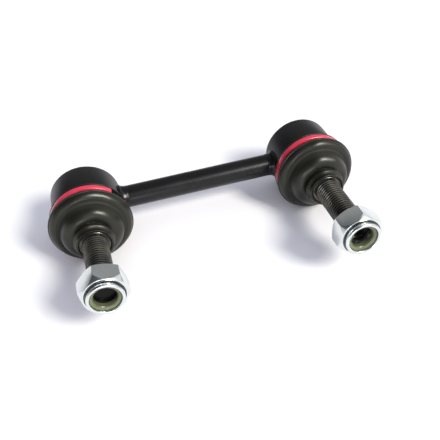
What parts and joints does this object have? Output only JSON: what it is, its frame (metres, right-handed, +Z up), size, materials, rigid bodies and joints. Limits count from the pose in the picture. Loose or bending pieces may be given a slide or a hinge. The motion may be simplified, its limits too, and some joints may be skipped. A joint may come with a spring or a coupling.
{
  "type": "stabilizer link",
  "caption": "Short stabilizer link: a rod welded between sealed ball joints, each with a rubber boot, red clamp ring, threaded stud and nylon lock nut, studs to one side.",
  "frame": {"origin": "midway between the two studs, on the plane of the two shoulders that the brackets seat on", "axes": "+X along the rod from the left joint to the right one, the studs point along -Y, +Z up"},
  "size_m": [0.1256, 0.0663, 0.0326],
  "materials": {
    "black_coat": "satin black coating on steel",
    "boot_rubber": "smooth black moulded rubber",
    "ring_red": "glossy red coating on spring steel",
    "stud_steel": "black oxide with an oil film",
    "zinc_plate": "bright zinc plating",
    "nylon": "olive nylon",
    "seat_plastic": "natural acetal plastic",
    "neck_steel": "plain steel"
  },
  "bodies": {
    "link": {"link_rod": "black_coat", "left_weld": "black_coat", "right_weld": "black_coat", "left_housing": "black_coat", "right_housing": "black_coat", "left_end_plate": "black_coat", "right_end_plate": "black_coat", "left_dust_boot": "boot_rubber", "right_dust_boot": "boot_rubber", "left_clamp_ring": "ring_red", "right_clamp_ring": "ring_red"},
    "left_seat": {"left_ball_seat": "seat_plastic"},
    "left_carrier": {"left_neck_ring": "neck_steel"},
    "left_stud": {"left_ball_stud": "stud_steel"},
    "left_insert": {"left_nut_insert": "nylon"},
    "left_nut": {"left_lock_nut": "zinc_plate"},
    "right_seat": {"right_ball_seat": "seat_plastic"},
    "right_carrier": {"right_neck_ring": "neck_steel"},
    "right_stud": {"right_ball_stud": "stud_steel"},
    "right_insert": {"right_nut_insert": "nylon"},
    "right_nut": {"right_lock_nut": "zinc_plate"}
  },
  "joints": [
    {"name": "left_turn", "type": "hinge", "parent": "link", "child": "left_seat", "pos_m": [-0.0465, 0.024, 0], "axis": [0, -1, 0], "continuous": true},
    {"name": "left_swing", "type": "hinge", "parent": "left_seat", "child": "left_carrier", "pos_m": [-0.0465, 0.024, 0], "axis": [1, 0, 0], "range_deg": [-22, 22], "deforming": ["left_dust_boot"]},
    {"name": "left_spin", "type": "hinge", "parent": "left_carrier", "child": "left_stud", "pos_m": [-0.0465, 0.024, 0], "axis": [0, -1, 0], "continuous": true},
    {"name": "left_nut_travel", "type": "slide", "parent": "left_stud", "child": "left_insert", "axis": [0, -1, 0], "range_m": [-0.01501, 0.00251], "deforming": ["left_nut_insert"]},
    {"name": "left_nut_turn", "type": "hinge", "parent": "left_insert", "child": "left_nut", "pos_m": [-0.0465, 0, 0], "axis": [0, -1, 0], "range_deg": [-4320, 720]},
    {"name": "right_turn", "type": "hinge", "parent": "link", "child": "right_seat", "pos_m": [0.0465, 0.024, 0], "axis": [0, -1, 0], "continuous": true},
    {"name": "right_swing", "type": "hinge", "parent": "right_seat", "child": "right_carrier", "pos_m": [0.0465, 0.024, 0], "axis": [1, 0, 0], "range_deg": [-22, 22], "deforming": ["right_dust_boot"]},
    {"name": "right_spin", "type": "hinge", "parent": "right_carrier", "child": "right_stud", "pos_m": [0.0465, 0.024, 0], "axis": [0, -1, 0], "continuous": true},
    {"name": "right_nut_travel", "type": "slide", "parent": "right_stud", "child": "right_insert", "axis": [0, -1, 0], "range_m": [-0.01876, 0.00126], "deforming": ["right_nut_insert"]},
    {"name": "right_nut_turn", "type": "hinge", "parent": "right_insert", "child": "right_nut", "pos_m": [0.0465, 0, 0], "axis": [0, -1, 0], "range_deg": [-5400, 360]}
  ],
  "couplings": [
    {"joint": "left_nut_travel", "follows": "left_nut_turn", "m_per_rad": 0.00019894},
    {"joint": "right_nut_travel", "follows": "right_nut_turn", "m_per_rad": 0.00019894}
  ]
}
